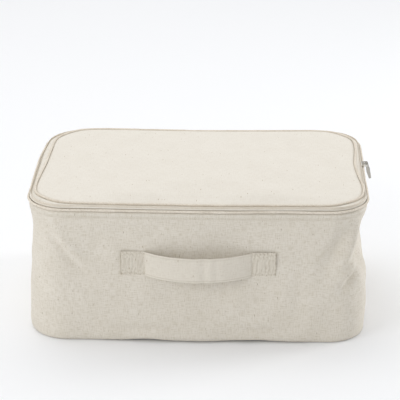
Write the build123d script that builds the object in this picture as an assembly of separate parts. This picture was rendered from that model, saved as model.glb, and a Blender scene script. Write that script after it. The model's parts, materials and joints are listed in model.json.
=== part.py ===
from build123d import *
import os

# Soft zipped under bed box: a canvas box on a wire rim, with a zipped lid and one strap handle.
#
# Millimetres. X runs along the long side, the handle is on the -Y front, Z is up, and the origin is the
# centre of the base's underside. Every ring of the box follows one rounded outline, the centre line of the
# rim's piping, at a signed offset from it: positive outwards, negative inwards.

# Driving dimensions
WIDTH = 600.0  # over the rim piping, left to right
DEPTH = 400.0  # over the rim piping, front to back
CORNER_RADIUS = 70.0  # of the rim piping's outer side, seen from above
RIM_HEIGHT = 249.0  # centre of the rim piping above the floor
LID_INSET = 10.5  # from the rim piping's centre line in to the lid piping's
LID_RISE = 10.75  # from the rim piping's centre up to the lid piping's
PIPING_RADIUS = 2.1
CORE_RADIUS = 1.15  # rim wire and lid piping cord
CORE_BORE = 1.2  # bore of both piping sleeves
FABRIC = 1.6  # canvas with its laminated backing
BASE_ROUND = 12.0  # outside radius where the wall turns under
THROUGH = 1.0  # how far a cutting block runs past what it cuts
CUT_SIZE = 80.0  # across a block that parts one stretch of a ring from the rest
STRAP_WIDTH = 45.0
STRAP_THICKNESS = 2.4

# The shared outline
HALF_X = WIDTH / 2 - PIPING_RADIUS
HALF_Y = DEPTH / 2 - PIPING_RADIUS
OUTLINE_RADIUS = CORNER_RADIUS - PIPING_RADIUS

# Wall, rim and base, as offsets from the outline and heights
WALL_OUT = -0.55
WALL_IN = WALL_OUT - FABRIC
WALL_TOP = RIM_HEIGHT - PIPING_RADIUS
BACK_SEAM_X = 225.0  # the wrap's two ends meet the back panel here
SEAM_OUT = WALL_OUT - BASE_ROUND  # where the turned-under wall meets the base panel
FACING_IN = -4.0
FACING_Z = (236.0, 248.4)
BINDING = 2.4  # a bound seam allowance, across
BINDING_HEIGHT = 8.0
BACK_BINDING_Z = (14.0, 235.0)  # clear of the turned-under foot and of the facing
BOARD_THICKNESS = 3.0
BOARD_GAP = 0.9  # between the board and the bound seam
LINING = 0.8

# Zip, lid band and hinge strip
ZIP_Z = 252.0  # centre line of the zip
ZIP_GAP = 0.5  # from the centre line to each half, where the slider's post runs
TAPE = (-4.6, -4.0)
COIL = (-6.0, -4.6)
COIL_WIDTH = 1.8
TAPE_BODY_LOW = 240.0
TAPE_LID_HIGH = 257.2
HINGE_STRIP_IN = -4.9
HINGE_HALF_LENGTH = 252.0  # the zip's two ends stand here, on the back corners
BAND_TOP = [(-LID_INSET + 2.18, 259.98), (-LID_INSET + 2.03, 259.0)]  # against the lid piping's outer side
BAND_PROFILE = [(-4.0, 255.5), (-3.1, 255.5), (-3.1, 257.6), *BAND_TOP, (-4.0, 257.2)]

# Lid
PIPING_Z = RIM_HEIGHT + LID_RISE
PANEL_OUT = -LID_INSET - PIPING_RADIUS - 0.05
PANEL_EDGE_Z = 260.4
PANEL_CROWN = 4.2
PANEL_THICKNESS = 1.2
CROWN_FLAT = (400.0, 220.0)  # the crown's level middle
LID_BINDING = (-LID_INSET - 4.5, -LID_INSET - 2.2)
LID_BINDING_Z = (252.8, 259.2)

# Handle, on the front wall
HANDLE_Z = 150.0
PATCH_OUT = 138.0  # outer end of each sewn end, from the middle
PATCH_LENGTH = 44.0
HANDLE_REACH = 25.0  # how far the strap stands off the wall
BOW_HALF = 58.0  # half of the bow's level middle
BOW_RADIUS = 46.0
TURN_START = 66.0  # the strap twists outside here when the bow swings
BACKING_MARGIN = 2.0
BACKING_THICKNESS = 1.0

# Slider and pull, on the right-hand side
MEET_Y = 28.0  # the two sliders close against each other here
SLIDER_LENGTH = 10.0
SLIDER_GAP = 0.3
SLIDER_HALF_WIDTH = 3.2
OUTER_PLATE = (-3.7, -2.5)
INNER_PLATE = (-7.5, -6.3)
PLATE_ROUND = 1.6
POST_THICKNESS = 0.6
POST_LENGTH = 3.0
LIP = (-6.3, -4.9)
LIP_HEIGHT = 0.6
LIP_SHORTER = 4.0
BAIL = (6.4, 253.6)  # centre of the bail's bar, as offset and height
BAIL_RADIUS = 1.1
BAIL_HALF = 3.4
BAIL_LEG = (2.0, 3.4)  # along the zip and upright
WELD = 0.1  # how far the slider's pieces run into each other
PULL_LEAN = 15.0  # degrees out from hanging straight, where the box's side holds the pull
PULL_THICKNESS = 1.5
EYE_RADIUS = 1.45
NECK_HALF = 2.7
NECK_LENGTH = 7.0
GRIP_HALF = 3.4
GRIP_LENGTH = 12.0  # from the eye to the grip's widest
TIP_HALF = 2.2
TIP_ROUND = 1.8
PULL_LENGTH = 27.0


def outline(offset):
    """The rounded outline at an offset, as a face."""
    return RectangleRounded(2 * (HALF_X + offset), 2 * (HALF_Y + offset), OUTLINE_RADIUS + offset)


def prism(offset, low, high):
    """The outline at an offset as a solid block."""
    return Pos(0, 0, low) * extrude(outline(offset), high - low)


def ring(inner, outer, low, high):
    """An upright band that runs round the whole outline."""
    return prism(outer, low, high) - prism(inner, low, high)


def loop(offset, height):
    """The outline at an offset as a closed path, and a plane across it with x outwards and y upwards."""
    path = (Pos(0, 0, height) * outline(offset)).wire()
    along = path % 0
    outwards = along.cross(Vector(0, 0, 1))
    across = Plane(origin=path @ 0, x_dir=outwards, z_dir=along)
    return path, across


def cord(offset, height, radius):
    """A round bar that runs round the whole outline."""
    path, across = loop(offset, height)
    return sweep(across * Circle(radius), path=path)


def swept(profile):
    """A strip of any section that runs round the whole outline. profile is (offset, height) pairs."""
    path, across = loop(0, 0)
    upwards = across.y_dir.Z
    section = make_face(Polyline(*[(n, upwards * z) for n, z in profile], close=True))
    return sweep(across * section, path=path)


def back_zone():
    """The stretch of every ring that the hinge strip takes, between the zip's ends."""
    return Pos(0, HALF_Y, RIM_HEIGHT) * Box(2 * HINGE_HALF_LENGTH, CUT_SIZE, CUT_SIZE)


def filleted_tub(offset, low, round_radius):
    """The outline as a solid block up to the rim, with its bottom edge rounded."""
    block = prism(offset, low, WALL_TOP)
    return fillet(block.edges().group_by(Axis.Z)[0], round_radius)


def shell():
    """The whole outer skin, with its turned-under foot and its underside."""
    return filleted_tub(WALL_OUT, 0, BASE_ROUND) - filleted_tub(WALL_IN, FABRIC, BASE_ROUND - FABRIC)


def back_panel_zone():
    """The stretch of the wall that the back panel takes, above the turned-under foot."""
    height = WALL_TOP - BASE_ROUND
    return Pos(0, HALF_Y, BASE_ROUND + height / 2) * Box(2 * BACK_SEAM_X, CUT_SIZE, height)


def body_parts():
    """The wall, the base and the rim, with the seams that hold them together."""
    skin = shell()
    base_zone = prism(SEAM_OUT, -THROUGH, FABRIC)
    base = skin & base_zone
    back = skin & back_panel_zone()
    wrap = skin - back_panel_zone() - base_zone
    board_out = SEAM_OUT - BINDING - BOARD_GAP
    board_top = FABRIC + BOARD_THICKNESS
    parts = {
        "wall_wrap": wrap,
        "wall_back": back,
        "base_panel": base,
        "base_seam_binding": ring(SEAM_OUT - BINDING, SEAM_OUT, FABRIC, FABRIC + BINDING_HEIGHT),
        "base_board": prism(board_out, FABRIC, board_top),
        "base_lining": prism(SEAM_OUT - BINDING, board_top, board_top + LINING),
        "rim_facing": ring(FACING_IN, WALL_IN, *FACING_Z),
        "rim_wire": cord(0, RIM_HEIGHT, CORE_RADIUS),
        "rim_piping": cord(0, RIM_HEIGHT, PIPING_RADIUS) - cord(0, RIM_HEIGHT, CORE_BORE),
    }
    low, high = BACK_BINDING_Z
    binding = Box(BINDING, BINDING_HEIGHT, high - low)
    behind = HALF_Y + WALL_IN - BINDING_HEIGHT / 2
    for side, sign in (("left", -1), ("right", 1)):
        place = Pos(sign * BACK_SEAM_X, behind, (low + high) / 2)
        parts[f"back_seam_binding_{side}"] = place * binding
    return parts


def zip_parts():
    """Both halves of the zip, on three sides, and the cloth hinge on the fourth."""
    back = back_zone()
    low, high = ZIP_Z - ZIP_GAP, ZIP_Z + ZIP_GAP
    hinge = ring(HINGE_STRIP_IN, TAPE[1], TAPE_BODY_LOW, TAPE_LID_HIGH) + swept(BAND_PROFILE)
    return {
        "zip_tape_body": ring(*TAPE, TAPE_BODY_LOW, low) - back,
        "zip_coil_body": ring(*COIL, low - COIL_WIDTH, low) - back,
        "zip_tape_lid": ring(*TAPE, high, TAPE_LID_HIGH) - back,
        "zip_coil_lid": ring(*COIL, high, high + COIL_WIDTH) - back,
        "lid_band": swept(BAND_PROFILE) - back,
        "hinge_strip": hinge & back,
    }


def crowned(drop):
    """The lid panel's upper surface as a block: a level edge that rises to a level middle."""
    edge = Pos(0, 0, PANEL_EDGE_Z - drop) * outline(PANEL_OUT)
    middle = Pos(0, 0, PANEL_EDGE_Z + PANEL_CROWN - drop) * RectangleRounded(
        *CROWN_FLAT, OUTLINE_RADIUS + PANEL_OUT
    )
    return loft([edge, middle]) + prism(PANEL_OUT, PANEL_EDGE_Z - PANEL_THICKNESS - drop, PANEL_EDGE_Z - drop)


def lid_parts():
    """The top panel, the piping on its cord, and the bound seam under the edge."""
    return {
        "lid_panel": crowned(0) - crowned(PANEL_THICKNESS),
        "lid_piping": cord(-LID_INSET, PIPING_Z, PIPING_RADIUS) - cord(-LID_INSET, PIPING_Z, CORE_BORE),
        "lid_piping_cord": cord(-LID_INSET, PIPING_Z, CORE_RADIUS),
        "lid_seam_binding": ring(*LID_BINDING, *LID_BINDING_Z),
    }


def handle_parts():
    """The strap, parted into its bow and its two sewn ends, and a backing patch behind each end."""
    wall_face = -(HALF_Y + WALL_OUT)
    near = wall_face - STRAP_THICKNESS / 2
    far = near - HANDLE_REACH
    inner = PATCH_OUT - PATCH_LENGTH
    left = [(-PATCH_OUT, near), (-inner, near), (-BOW_HALF, far)]
    right = [(-x, y) for x, y in reversed(left)]
    path = Pos(0, 0, HANDLE_Z) * FilletPolyline(*left, *right, radius=BOW_RADIUS)
    start = Plane(origin=(-PATCH_OUT, near, HANDLE_Z), x_dir=(0, 1, 0), z_dir=(1, 0, 0))
    strap = sweep(start * Rectangle(STRAP_THICKNESS, STRAP_WIDTH), path=path)
    middle = Pos(0, far, HANDLE_Z) * Box(2 * TURN_START, 2 * HANDLE_REACH, 2 * STRAP_WIDTH)
    parts = {"handle_bow": strap & middle, "handle_ends": strap - middle}
    length, height = PATCH_LENGTH + 2 * BACKING_MARGIN, STRAP_WIDTH + 2 * BACKING_MARGIN
    backing = Box(length, BACKING_THICKNESS, height)
    inner_face = -(HALF_Y + WALL_IN)
    for side, sign in (("left", -1), ("right", 1)):
        place = Pos(sign * (PATCH_OUT - PATCH_LENGTH / 2), inner_face + BACKING_THICKNESS / 2, HANDLE_Z)
        parts[f"handle_backing_{side}"] = place * backing
    return parts


def plate(span, low, high, length):
    """A flat plate of the slider: span is its two offsets, low and high its edges."""
    size = (span[1] - span[0], length, high - low)
    return Pos(HALF_X + sum(span) / 2, 0, (low + high) / 2) * Box(*size)


def slider():
    """A slider with its middle at y 0: two plates, the post between them, a lip and the bail."""
    low, high = ZIP_Z - SLIDER_HALF_WIDTH, ZIP_Z + SLIDER_HALF_WIDTH
    body = []
    for span in (OUTER_PLATE, INNER_PLATE):
        flat = plate(span, low, high, SLIDER_LENGTH)
        body.append(fillet(flat.edges().filter_by(Axis.X), PLATE_ROUND))
    post_span = (INNER_PLATE[1] - WELD, OUTER_PLATE[0] + WELD)
    body.append(plate(post_span, ZIP_Z - POST_THICKNESS / 2, ZIP_Z + POST_THICKNESS / 2, POST_LENGTH))
    body.append(plate((LIP[0] - WELD, LIP[1]), low, low + LIP_HEIGHT, SLIDER_LENGTH - LIP_SHORTER))
    bar_x, bar_z = HALF_X + BAIL[0], BAIL[1]
    body.append(Pos(bar_x, 0, bar_z) * Rot(90, 0, 0) * Cylinder(BAIL_RADIUS, 2 * BAIL_HALF))
    leg_length = BAIL[0] + BAIL_RADIUS - OUTER_PLATE[1] + WELD
    leg = Box(leg_length, *BAIL_LEG)
    for sign in (-1, 1):
        body.append(Pos(bar_x + BAIL_RADIUS - leg_length / 2, sign * BAIL_HALF, bar_z) * leg)
    return body[0] + body[1:]


def pull_tab():
    """The flat pull in its own frame: its eye is at the origin, about Y, and it hangs down."""
    side = [(NECK_HALF, 0), (NECK_HALF, -NECK_LENGTH), (GRIP_HALF, -GRIP_LENGTH), (TIP_HALF, -PULL_LENGTH)]
    other = [(-x, z) for x, z in reversed(side)]
    face = make_face(Polyline(*side, *other, close=True)) + Circle(NECK_HALF)
    tip = face.vertices().group_by(Axis.Y)[0]
    face = fillet(tip, TIP_ROUND) - Circle(EYE_RADIUS)
    upright = Plane(origin=(0, PULL_THICKNESS / 2, 0), x_dir=(1, 0, 0), z_dir=(0, -1, 0))
    return extrude(upright * face, PULL_THICKNESS)


def slider_parts():
    """Both sliders, nose to nose, each with its pull hung from its bail."""
    middle = SLIDER_LENGTH / 2 + SLIDER_GAP
    parts = {}
    for name, y in (("front", MEET_Y - middle), ("rear", MEET_Y + middle)):
        parts[f"zip_slider_{name}"] = Pos(0, y, 0) * slider()
        hung = Pos(HALF_X + BAIL[0], y, BAIL[1]) * Rot(0, -PULL_LEAN, 0)
        parts[f"pull_tab_{name}"] = hung * pull_tab()
    return parts


def main():
    """Writes every piece to its own STEP file."""
    os.makedirs("parts", exist_ok=True)
    parts = {**body_parts(), **zip_parts(), **lid_parts(), **handle_parts(), **slider_parts()}
    for name, shape in parts.items():
        export_step(shape, f"parts/{name}.step")


main()
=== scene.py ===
import json
import math

import bmesh
import bpy
import numpy as np
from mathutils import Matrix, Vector


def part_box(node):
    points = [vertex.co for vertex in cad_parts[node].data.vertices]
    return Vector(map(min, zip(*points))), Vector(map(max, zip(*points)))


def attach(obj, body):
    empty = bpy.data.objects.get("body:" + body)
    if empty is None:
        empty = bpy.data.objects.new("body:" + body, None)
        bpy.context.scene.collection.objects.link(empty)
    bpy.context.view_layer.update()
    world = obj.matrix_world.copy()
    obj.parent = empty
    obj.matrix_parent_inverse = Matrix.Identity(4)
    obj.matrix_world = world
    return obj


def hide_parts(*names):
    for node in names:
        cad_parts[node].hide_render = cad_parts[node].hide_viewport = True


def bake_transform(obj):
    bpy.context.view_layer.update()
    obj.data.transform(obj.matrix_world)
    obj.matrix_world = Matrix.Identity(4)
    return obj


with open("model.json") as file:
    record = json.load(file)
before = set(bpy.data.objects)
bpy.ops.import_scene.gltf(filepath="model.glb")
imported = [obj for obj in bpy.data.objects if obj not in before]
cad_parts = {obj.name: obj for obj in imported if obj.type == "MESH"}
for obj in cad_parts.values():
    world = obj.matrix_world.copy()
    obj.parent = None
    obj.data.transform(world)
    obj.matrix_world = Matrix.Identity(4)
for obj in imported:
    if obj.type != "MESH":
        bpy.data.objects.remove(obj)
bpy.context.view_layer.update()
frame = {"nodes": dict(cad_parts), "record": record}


# ---------------------------------------------------------------------------------------------------
# Set: a sheet of matt white backdrop paper and a long lens from the front. The light is a large softbox
# overhead, a fill from the front left, a strip on the right that draws the corner, and one on the paper far
# behind. The white room fills the shadows.
# ---------------------------------------------------------------------------------------------------
def linear(colour):
    """An sRGB hex colour, such as "e6e0d4", as linear red, green, blue and alpha."""
    channels = [int(colour[i:i + 2], 16) / 255 for i in (0, 2, 4)]
    return [c / 12.92 if c <= 0.04045 else ((c + 0.055) / 1.055) ** 2.4 for c in channels] + [1.0]


def add(tree, kind, inputs=None, **settings):
    """Adds a shader node. settings are its properties, inputs the values of its sockets or the outputs that
    they take."""
    made = tree.nodes.new("ShaderNode" + kind)
    for key, value in settings.items():
        setattr(made, key, value)
    for key, value in (inputs or {}).items():
        if isinstance(value, bpy.types.NodeSocket):
            tree.links.new(value, made.inputs[key])
        else:
            made.inputs[key].default_value = value
    return made


def material(name):
    """A new material and its node tree, with a Principled shader joined to the output."""
    made = bpy.data.materials.new(name)
    made.use_nodes = True
    return made, made.node_tree, made.node_tree.nodes["Principled BSDF"]


# paper: white with a breath of blue, and no gloss at all
FLOOR_SIZE = 60.0
floor_paper, _, floor_shader = material("matt_white_backdrop_paper")
floor_shader.inputs["Base Color"].default_value = linear("f7f8fa")
floor_shader.inputs["Roughness"].default_value = 0.95
floor_shader.inputs["Specular IOR Level"].default_value = 0.1
floor_mesh = bpy.data.meshes.new("floor")
half = FLOOR_SIZE / 2
floor_corners = [(-half, -half, 0), (half, -half, 0), (half, half, 0), (-half, half, 0)]
floor_mesh.from_pydata(floor_corners, [], [(0, 1, 2, 3)])
floor_mesh.materials.append(floor_paper)
floor = bpy.data.objects.new("floor", floor_mesh)
bpy.context.scene.collection.objects.link(floor)

CAMERA_AZIMUTH = math.radians(1.66)
CAMERA_ELEVATION = math.radians(22.0)
CAMERA_DISTANCE = 3.293
CAMERA_TARGET = Vector((0.0, 0.0, 0.190))
CAMERA_LENS, SENSOR_WIDTH = 161.6, 36.0  # mm
towards = Vector((
    math.sin(CAMERA_AZIMUTH) * math.cos(CAMERA_ELEVATION),
    -math.cos(CAMERA_AZIMUTH) * math.cos(CAMERA_ELEVATION),
    math.sin(CAMERA_ELEVATION),
))
lens = bpy.data.cameras.new("camera")
lens.lens = CAMERA_LENS
lens.sensor_width = SENSOR_WIDTH
camera = bpy.data.objects.new("camera", lens)
camera.location = CAMERA_TARGET + CAMERA_DISTANCE * towards
camera.rotation_euler = towards.to_track_quat("Z", "Y").to_euler()
bpy.context.scene.collection.objects.link(camera)
bpy.context.scene.camera = camera


def softbox(name, place, target, width, height, power):
    """A rectangular area light that faces its target."""
    light = bpy.data.lights.new(name, "AREA")
    light.shape = "RECTANGLE"
    light.size, light.size_y = width, height
    light.energy = power
    box = bpy.data.objects.new(name, light)
    box.location = place
    box.rotation_euler = (Vector(place) - Vector(target)).to_track_quat("Z", "Y").to_euler()
    bpy.context.scene.collection.objects.link(box)


softbox("overhead_softbox", (-0.9, 0.8, 3.1), (0, 0, 0), 3.0, 2.4, 32)
softbox("front_fill", (-2.1, -1.9, 1.3), (0, 0, 0.1), 1.3, 1.3, 20)
softbox("right_strip", (2.3, 0.8, 0.9), (0.2, 0, 0.15), 0.8, 1.5, 19)
softbox("backdrop_light", (0, 4.2, 2.6), (0, 4.2, 0), 5.0, 2.4, 17)
ROOM_LIGHT = 0.645
world = bpy.data.worlds.new("white_room")
world.use_nodes = True
world.node_tree.nodes["Background"].inputs["Color"].default_value = linear("ffffff")
world.node_tree.nodes["Background"].inputs["Strength"].default_value = ROOM_LIGHT
bpy.context.scene.world = world
bpy.context.scene.view_settings.view_transform = "Standard"


# ---------------------------------------------------------------------------------------------------
# Rim wire: one length of bright spring steel wire, bent to a rounded rectangle, its ends butted. It holds
# the soft box open, and every ring of the box follows its outline at some offset.
# ---------------------------------------------------------------------------------------------------
PIPING_RADIUS = 0.0021
CORNER = 0.0679  # of the rim wire's centre line
rim_low, rim_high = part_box("rim_piping")
HALF_X = rim_high.x - PIPING_RADIUS
HALF_Y = rim_high.y - PIPING_RADIUS
RIM_Z = (rim_low.z + rim_high.z) / 2
ARC = CORNER * math.pi / 2
LONG, SHORT = 2 * (HALF_X - CORNER), 2 * (HALF_Y - CORNER)
# where each straight starts round the rim, and its length; the back's comes in two halves
STRAIGHTS = [(0, LONG / 2), (LONG / 2 + ARC, SHORT), (LONG / 2 + SHORT + 2 * ARC, LONG),
             (1.5 * LONG + SHORT + 3 * ARC, SHORT), (1.5 * LONG + 2 * SHORT + 4 * ARC, LONG / 2)]
GIRTH = 2 * LONG + 2 * SHORT + 4 * ARC
FRONT_MIDDLE = GIRTH / 2
RIGHT_MIDDLE = STRAIGHTS[3][0] + SHORT / 2
LEFT_MIDDLE = STRAIGHTS[1][0] + SHORT / 2


def outline(s, offset):
    """The plan place, x and y, at a distance s round the rim from the middle of the back, by way of the left
    side, the front and the right side. A straight moves the core point along, a corner turns the outward
    direction, and the place is the core plus the corner radius and the offset along that direction."""
    s = np.mod(s, GIRTH)
    run = [np.clip(s - start, 0, length) for start, length in STRAIGHTS]
    turned = sum(np.clip((s - start - length) / CORNER, 0, math.pi / 2) for start, length in STRAIGHTS[:4])
    angle = math.pi / 2 + turned
    reach = CORNER + offset
    x = run[2] - run[0] - run[4] + reach * np.cos(angle)
    y = SHORT / 2 - run[1] + run[3] + reach * np.sin(angle)
    return x, y


def smooth(t):
    """0 below 0, 1 above 1, and an even S between them."""
    t = np.clip(t, 0, 1)
    return t * t * (3 - 2 * t)


def hump(t):
    """1 at 0, falling evenly to 0 at -1 and 1."""
    return np.cos(np.clip(t, -1, 1) * math.pi / 2) ** 2


def ripple(a, b, length, seed, count=14, period=None):
    """Even, random-looking waves between about -1 and 1: a sum of cosines over the plane (a, b), with wave
    lengths from 0.6 to 1.8 times length, and directions and phases drawn from the seed. With a period, each
    cosine has a whole number of waves in that length of a, so that it closes on itself."""
    draw = np.random.default_rng(seed)
    total = 0
    for _ in range(count):
        turn, phase = draw.uniform(0, 2 * math.pi, 2)
        wave = 2 * math.pi / (length * draw.uniform(0.6, 1.8))
        along, aside = wave * math.cos(turn), wave * math.sin(turn)
        if period:
            along = 2 * math.pi / period * round(along * period / (2 * math.pi))
        total = total + np.cos(along * a + aside * b + phase)
    return total / math.sqrt(count)


def round_ripple(s, z, length, seed):
    """The same waves over the distance round the rim and the height, closed where the rim closes."""
    return ripple(s, z, length, seed, period=GIRTH)


FRONT_BOW = 0.0035  # the middle of the front rim stands this far out of its straight
FRONT_SAG = 0.0003  # and hangs this far below it
BACK_SAG = 0.0030
CORNER_PULL = 0.0085  # the rear left corner has been squeezed in by this much along x
CORNER_PULL_Y = 0.7  # and by this share of it along y
FRONT_REACH, BACK_REACH, CORNER_REACH = 0.27, 0.29, 0.16  # half the length of each
SETTLED_FROM, SETTLED_RISE = 0.03, 0.22  # the box settles from this height up, in full this much higher


def settle(points):
    """How the filled box has settled, as one even field that every soft piece goes along with, less and less
    towards the floor: a hump along the front bows it out and lowers it, a hump along the back lowers it, and
    one round the rear left corner leans it in."""
    x, y, z = points[..., 0], points[..., 1], points[..., 2]
    upper = smooth((z - SETTLED_FROM) / SETTLED_RISE)
    front = hump(x / FRONT_REACH) * smooth(-y / HALF_Y) * upper
    rear = hump(x / BACK_REACH) * smooth(y / HALF_Y) * upper
    from_corner = np.hypot(x + HALF_X, y - HALF_Y)
    corner = CORNER_PULL * hump(from_corner / CORNER_REACH) * upper
    moved = points.copy()
    moved[..., 0] += corner
    moved[..., 1] -= FRONT_BOW * front + corner * CORNER_PULL_Y
    moved[..., 2] -= FRONT_SAG * front + BACK_SAG * rear
    return moved


WELD = 2e-6  # places nearer to each other than this are one


def surface(name, points, cloth, seam=None):
    """A mesh from a grid of points, (m, n, 3), with its place on the flat cloth, (m, n, 2) in metres, as its
    UV map. seam, (m, n), is painted shade: 1 in the crease of a seam and 0 on open cloth, and it becomes
    the attribute of that name. Places that meet, as at a seam that closes on itself or a pole, are welded
    into one."""
    m, n = points.shape[:2]
    corner = np.arange(m * n).reshape(m, n)
    quads = np.stack([corner[:-1, :-1], corner[1:, :-1], corner[1:, 1:], corner[:-1, 1:]], -1).reshape(-1, 4)
    mesh = bpy.data.meshes.new(name)
    mesh.from_pydata(points.reshape(-1, 3).tolist(), [], quads.tolist())
    layer = mesh.uv_layers.new(name="cloth")
    layer.data.foreach_set("uv", cloth.reshape(-1, 2)[quads].astype(np.float32).ravel())
    if seam is not None:
        creases = mesh.attributes.new("seam", "FLOAT", "POINT")
        creases.data.foreach_set("value", np.broadcast_to(seam, (m, n)).astype(np.float32).ravel())
    welded = bmesh.new()
    welded.from_mesh(mesh)
    bmesh.ops.remove_doubles(welded, verts=welded.verts, dist=WELD)
    welded.to_mesh(mesh)
    welded.free()
    mesh.shade_smooth()
    piece = bpy.data.objects.new(name, mesh)
    bpy.context.scene.collection.objects.link(piece)
    return piece


def carry(name, stations, offsets, heights, seam=0.0):
    """A closed profile carried along the rim's outline. stations are distances round the rim; offsets,
    heights and seam, (profile,) or (stations, profile), run up the outer side and down the inner one. Unless
    it goes right round, each end is closed by a last profile that shrinks to its own middle line: each point
    goes halfway to the one that faces it across the thickness."""
    s = stations[:, None]
    n = np.broadcast_to(offsets, (len(stations), np.shape(offsets)[-1]))
    z = np.broadcast_to(heights, n.shape)
    x, y = outline(s, n)
    points = np.stack([x, y, z], -1)
    points = settle(np.concatenate([points, points[:, :1]], 1))
    seam = np.broadcast_to(seam, n.shape)
    seam = np.concatenate([seam, seam[:, :1]], 1)
    steps = np.linalg.norm(np.diff(points[len(points) // 2], axis=0), axis=-1)
    across = np.concatenate([[0], np.cumsum(steps)])
    cloth = np.stack(np.broadcast_arrays(s, across[None, :]), -1)
    if stations[-1] - stations[0] < GIRTH - 1e-6:
        count = points.shape[1] - 1
        facing = (count - 1 - np.arange(count + 1)) % count
        ends = (points[[0, -1]] + points[[0, -1]][:, facing]) / 2
        points = np.concatenate([ends[:1], points, ends[1:]])
        cloth = np.concatenate([cloth[:1], cloth, cloth[-1:]])
        seam = np.concatenate([seam[:1], seam, seam[-1:]])
    return surface(name, points, cloth, seam)


def tube(centre_offset, centre_height, radius, sides=18):
    """A round profile, anticlockwise with the outside to the right."""
    turn = np.linspace(-math.pi / 2, 1.5 * math.pi, sides, endpoint=False)
    return centre_offset + radius * np.cos(turn), centre_height + radius * np.sin(turn)


def dress(piece, finish, body, slot, *nodes):
    """Gives a finished piece its material, the body that it rides on and the CAD nodes that it stands for.
    slot is not used."""
    piece.data.materials.clear()
    piece.data.materials.append(finish)
    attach(piece, body)
    if nodes:
        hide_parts(*nodes)
    return piece


def core(name, node, offset, wander, finish, body, slot):
    """The round core inside a piping, along the same wandering line."""
    low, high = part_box(node)
    s = np.linspace(0, GIRTH, 600)
    inwards, upwards = wander(s)
    offsets, heights = tube(offset, (low.z + high.z) / 2, (high.z - low.z) / 2, 10)
    piece = carry(name, s, offsets + inwards[:, None], heights + upwards[:, None])
    return dress(piece, finish, body, slot, node)


def rim_wander(s):
    """How far the rim's core stands in or out, and up or down, of its plain line: faint even waves."""
    return 0.0004 * round_ripple(s, 0, 0.16, 8), 0.0004 * round_ripple(s, 0, 0.2, 9)


# drawn and tempered wire: bright grey, its gloss a little uneven along the drawing marks
DRAWING_MARKS = 1 / 700  # metres
spring_steel, steel_tree, steel_shader = material("bright_spring_steel")
steel_place = add(steel_tree, "TexCoord").outputs["Object"]
drawn = add(steel_tree, "TexNoise", {"Vector": steel_place, "Scale": 1 / DRAWING_MARKS})
roughness = add(steel_tree, "MapRange", {"Value": drawn.outputs["Fac"], "To Min": 0.25, "To Max": 0.4})
steel_tree.links.new(roughness.outputs["Result"], steel_shader.inputs["Roughness"])
steel_shader.inputs["Metallic"].default_value = 1.0
steel_shader.inputs["Base Color"].default_value = linear("b8b8b6")
core("rim_spring_wire", "rim_wire", 0.0, rim_wander, spring_steel, "box", "wire")

# ---------------------------------------------------------------------------------------------------
# Walls: one long strip of canvas for the front, both sides and all four corners, and a shorter back panel,
# both turned under at the foot and sewn to the base panel. The canvas is soft, so it pulls in under the
# rim, bellies out above the floor, and is dented at the corners.
# ---------------------------------------------------------------------------------------------------
# unbleached linen and cotton in a plain weave: matt and warm, speckled at arm's length by thick and thin
# yarns that run both ways, with a dark bast fleck here and there. The real threads are about 0.6 mm apart;
# the weave is drawn 1.5 mm apart and the slubs 1.6 mm wide, so that they show.
WEAVE_PITCH = 0.0015
SLUB_WIDTH, SLUB_LENGTH = 0.0016, 0.012
FLECK_WIDTH, FLECK_LENGTH = 0.0022, 0.0085
PATCH_SIZE = 0.045
CROSSING_SHADE = 0.04  # how much one thread passing over another changes the tone
WEAVE_DEEP = 0.35  # the weave's relief against the slubs'
# the colour of the painted shade that the seam attribute mixes into creases, hems and cut edges
SEAM_SHADE_COLOUR = "a2967f"


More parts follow.
